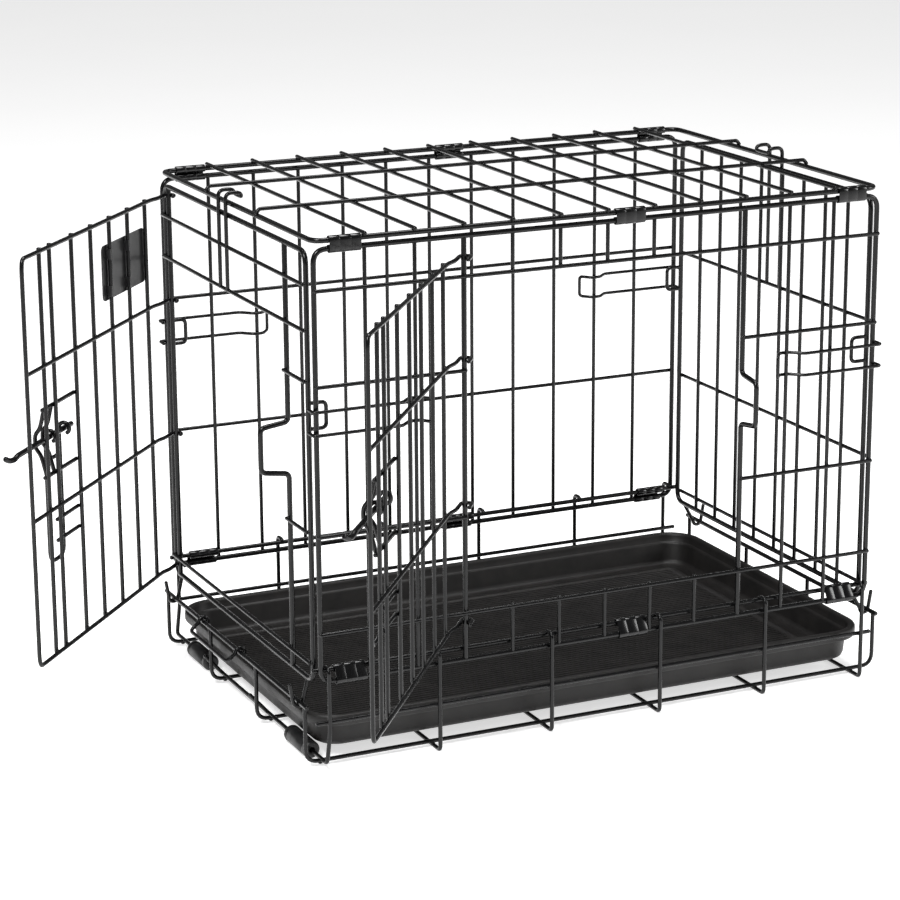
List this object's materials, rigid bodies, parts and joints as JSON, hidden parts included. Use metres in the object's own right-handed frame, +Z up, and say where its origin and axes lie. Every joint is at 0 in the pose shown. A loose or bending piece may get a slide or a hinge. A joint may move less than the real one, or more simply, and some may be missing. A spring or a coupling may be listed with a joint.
{
  "type": "wire dog crate",
  "caption": "Folding wire crate for a small dog: hinged wire panels, a side door and an end door with slide-bolt latches, a lift-out plastic pan and roller feet.",
  "frame": {"origin": "on the floor, under the middle of the whole object's bounding box with both doors open as at rest", "axes": "+X along the crate's length, away from the end door; +Y from the side door's long side to the back; +Z up"},
  "size_m": [0.6822, 0.516, 0.4019],
  "materials": {
    "coated_wire": "satin-gloss black electrocoat over steel wire",
    "coated_clip": "glossy black coated sheet steel",
    "coated_plate": "satin black coated sheet steel",
    "pan_plastic": "fine-grained black plastic",
    "roller_plastic": "satin black plastic"
  },
  "bodies": {
    "crate": {"floor_panel": "coated_wire", "front_panel": "coated_wire", "back_panel": "coated_wire", "top_panel": "coated_wire", "left_end_panel": "coated_wire", "hinge_clip_top_front_left": "coated_clip", "hinge_clip_top_front_middle": "coated_clip", "hinge_clip_top_front_right": "coated_clip", "hinge_clip_top_back_left": "coated_clip", "hinge_clip_top_back_middle": "coated_clip", "hinge_clip_top_back_right": "coated_clip", "hinge_clip_bottom_front_left": "coated_clip", "hinge_clip_bottom_front_middle": "coated_clip", "hinge_clip_bottom_front_right": "coated_clip", "hinge_clip_bottom_back_left": "coated_clip", "hinge_clip_bottom_back_middle": "coated_clip", "hinge_clip_bottom_back_right": "coated_clip"},
    "right_end_panel": {"right_end_panel": "coated_wire"},
    "side_door": {"side_door": "coated_wire"},
    "end_door": {"end_door": "coated_wire", "id_plate": "coated_plate"},
    "side_bolt": {"side_bolt": "coated_wire"},
    "end_bolt": {"end_bolt": "coated_wire"},
    "side_paddle": {"side_paddle": "coated_wire"},
    "end_paddle": {"end_paddle": "coated_wire"},
    "pan": {"pan": "pan_plastic"},
    "pan_stop": {"pan_stop": "coated_wire"},
    "roller_foot_back": {"roller_foot_back": "roller_plastic"},
    "roller_foot_front": {"roller_foot_front": "roller_plastic"},
    "side_loop_front_left": {"side_loop_front_left": "coated_wire"},
    "side_loop_front_right": {"side_loop_front_right": "coated_wire"},
    "side_loop_back_left": {"side_loop_back_left": "coated_wire"},
    "side_loop_back_right": {"side_loop_back_right": "coated_wire"}
  },
  "joints": [
    {"name": "side_door_hinge", "type": "hinge", "parent": "crate", "child": "side_door", "pos_m": [-0.02807, -0.06145, 0.24], "axis": [0, 0, 1], "range_deg": [-10, 127.8]},
    {"name": "end_door_hinge", "type": "hinge", "parent": "crate", "child": "end_door", "pos_m": [-0.14507, 0.23175, 0.232], "axis": [0, 0, 1], "range_deg": [-55, 41.9]},
    {"name": "side_bolt_slide", "type": "slide", "parent": "side_door", "child": "side_bolt", "axis": [0.6129, 0.7902, 0], "range_m": [0, 0.036]},
    {"name": "end_bolt_slide", "type": "slide", "parent": "end_door", "child": "end_bolt", "axis": [0.6678, 0.7443, 0], "range_m": [0, 0.036]},
    {"name": "side_paddle_lift", "type": "hinge", "parent": "side_bolt", "child": "side_paddle", "pos_m": [-0.04134, -0.05116, 0.24], "axis": [0.6129, 0.7902, 0], "range_deg": [0, 100]},
    {"name": "end_paddle_lift", "type": "hinge", "parent": "end_bolt", "child": "end_paddle", "pos_m": [-0.15757, 0.24297, 0.232], "axis": [0.6678, 0.7443, 0], "range_deg": [0, 100]},
    {"name": "right_end_panel_fold", "type": "hinge", "parent": "crate", "child": "right_end_panel", "pos_m": [0.33343, 0.09455, 0.048], "axis": [0, 1, 0], "range_deg": [-70, 0]},
    {"name": "pan_lift", "type": "slide", "parent": "crate", "child": "pan", "axis": [0, 0, 1], "range_m": [0, 0.008]},
    {"name": "pan_stop_swing", "type": "hinge", "parent": "crate", "child": "pan_stop", "pos_m": [-0.15307, 0.11905, 0.048], "axis": [0, 1, 0], "range_deg": [0, 90]},
    {"name": "side_loop_front_left_swing", "type": "hinge", "parent": "crate", "child": "side_loop_front_left", "pos_m": [-0.06657, -0.06185, 0.2625], "axis": [0, 0, 1], "range_deg": [0, 60]},
    {"name": "side_loop_front_right_swing", "type": "hinge", "parent": "crate", "child": "side_loop_front_right", "pos_m": [0.24143, -0.06185, 0.2625], "axis": [0, 0, -1], "range_deg": [0, 130]},
    {"name": "side_loop_back_left_swing", "type": "hinge", "parent": "crate", "child": "side_loop_back_left", "pos_m": [-0.06657, 0.25095, 0.2625], "axis": [0, 0, -1], "range_deg": [0, 150]},
    {"name": "side_loop_back_right_swing", "type": "hinge", "parent": "crate", "child": "side_loop_back_right", "pos_m": [0.24143, 0.25095, 0.2625], "axis": [0, 0, 1], "range_deg": [0, 150]},
    {"name": "roller_foot_back_spin", "type": "hinge", "parent": "crate", "child": "roller_foot_back", "pos_m": [-0.14177, 0.19455, 0.0066], "axis": [0, 1, 0], "continuous": true},
    {"name": "roller_foot_front_spin", "type": "hinge", "parent": "crate", "child": "roller_foot_front", "pos_m": [-0.14177, -0.01645, 0.0066], "axis": [0, 1, 0], "continuous": true}
  ]
}
